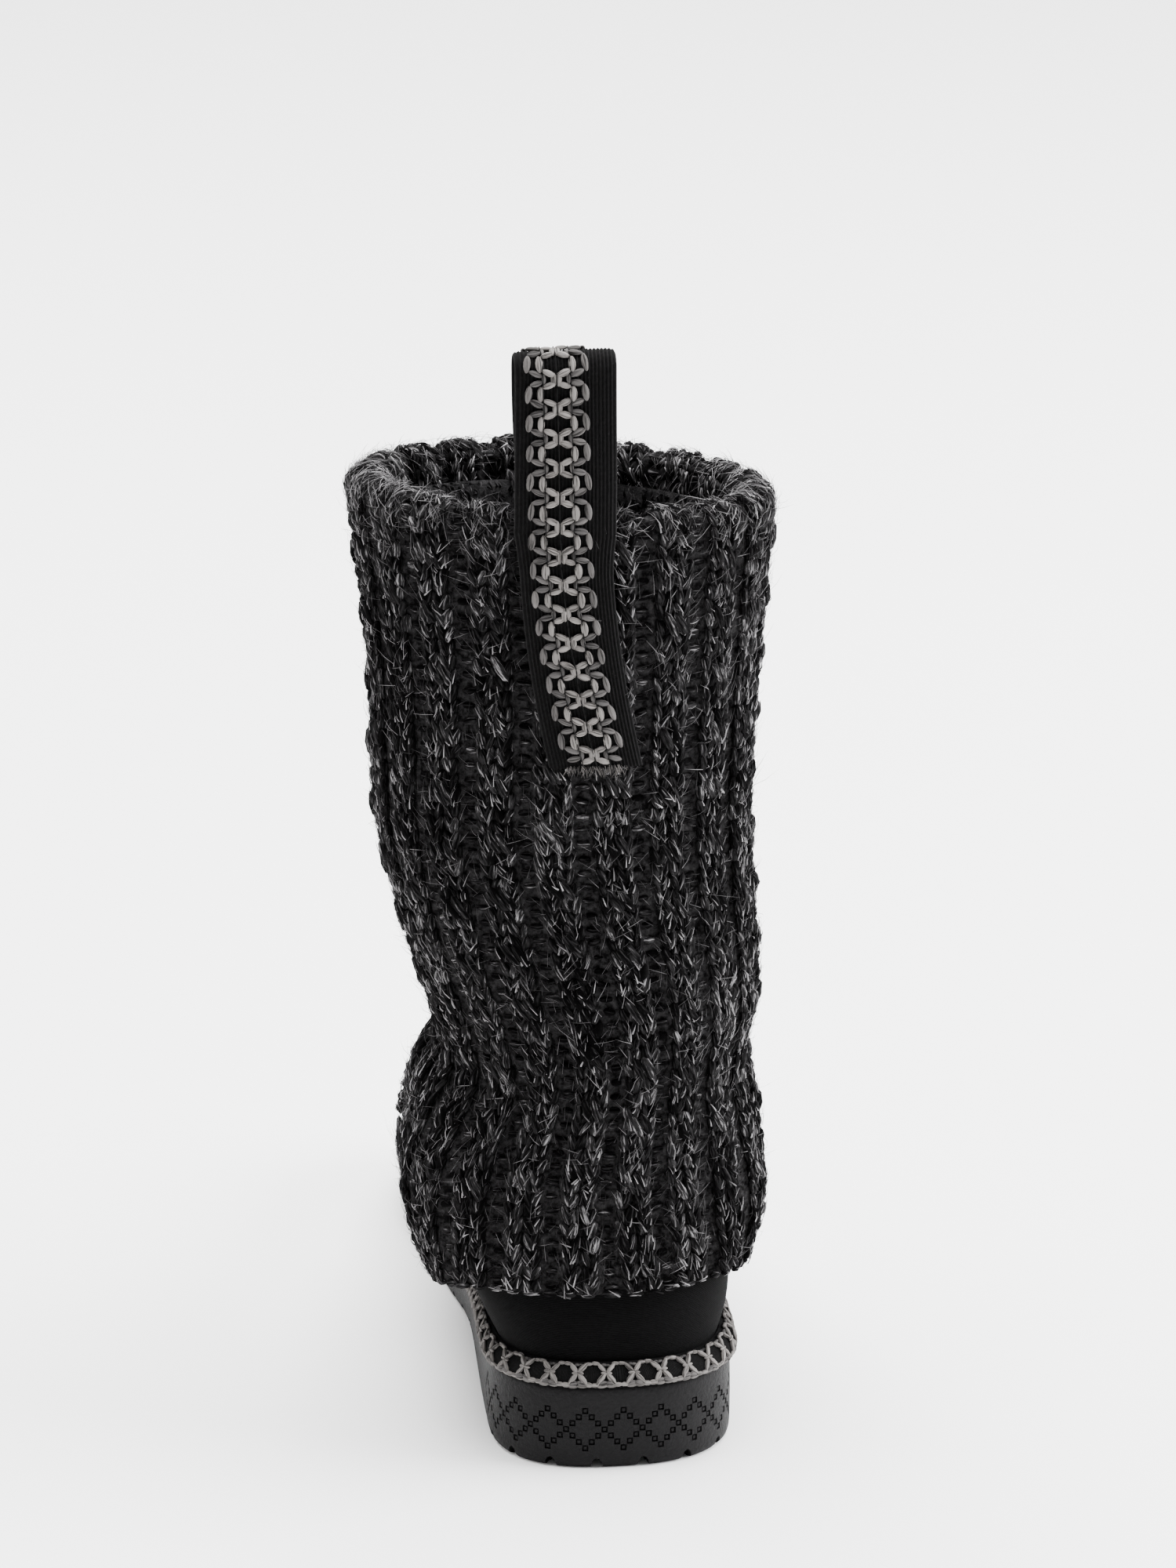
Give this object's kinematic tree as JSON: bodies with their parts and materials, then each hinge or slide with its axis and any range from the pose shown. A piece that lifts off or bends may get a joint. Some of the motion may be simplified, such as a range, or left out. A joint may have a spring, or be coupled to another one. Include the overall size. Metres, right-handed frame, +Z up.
{
  "type": "winter boot",
  "caption": "Pull-on winter boot with a hollow upper, a chunky knit sleeve rolled over the collar, a webbing pull loop and a lugged rubber wedge sole.",
  "frame": {"origin": "on the floor under the middle of the heel, 35 mm in front of the sole's back end", "axes": "+Z up along the shaft, -Y towards the toe, +X towards the medial side, which is the wearer's left"},
  "size_m": [0.126, 0.2738, 0.3408],
  "materials": {
    "sole_rubber": "matt moulded black rubber with a faint grain",
    "insole_pile": "short charcoal pile",
    "upper_cloth": "black brushed cloth with fine horizontal ribs",
    "trim_webbing": "black webbing with grey chain stitching",
    "marled_knit": "fuzzy black and white marled yarn",
    "tab_webbing": "black ribbed webbing with grey chain embroidery"
  },
  "bodies": {
    "root": {"outsole": "sole_rubber", "insole": "insole_pile", "upper": "upper_cloth", "sole_trim": "trim_webbing", "knit_sleeve": "marled_knit", "pull_tab": "tab_webbing"}
  },
  "joints": []
}
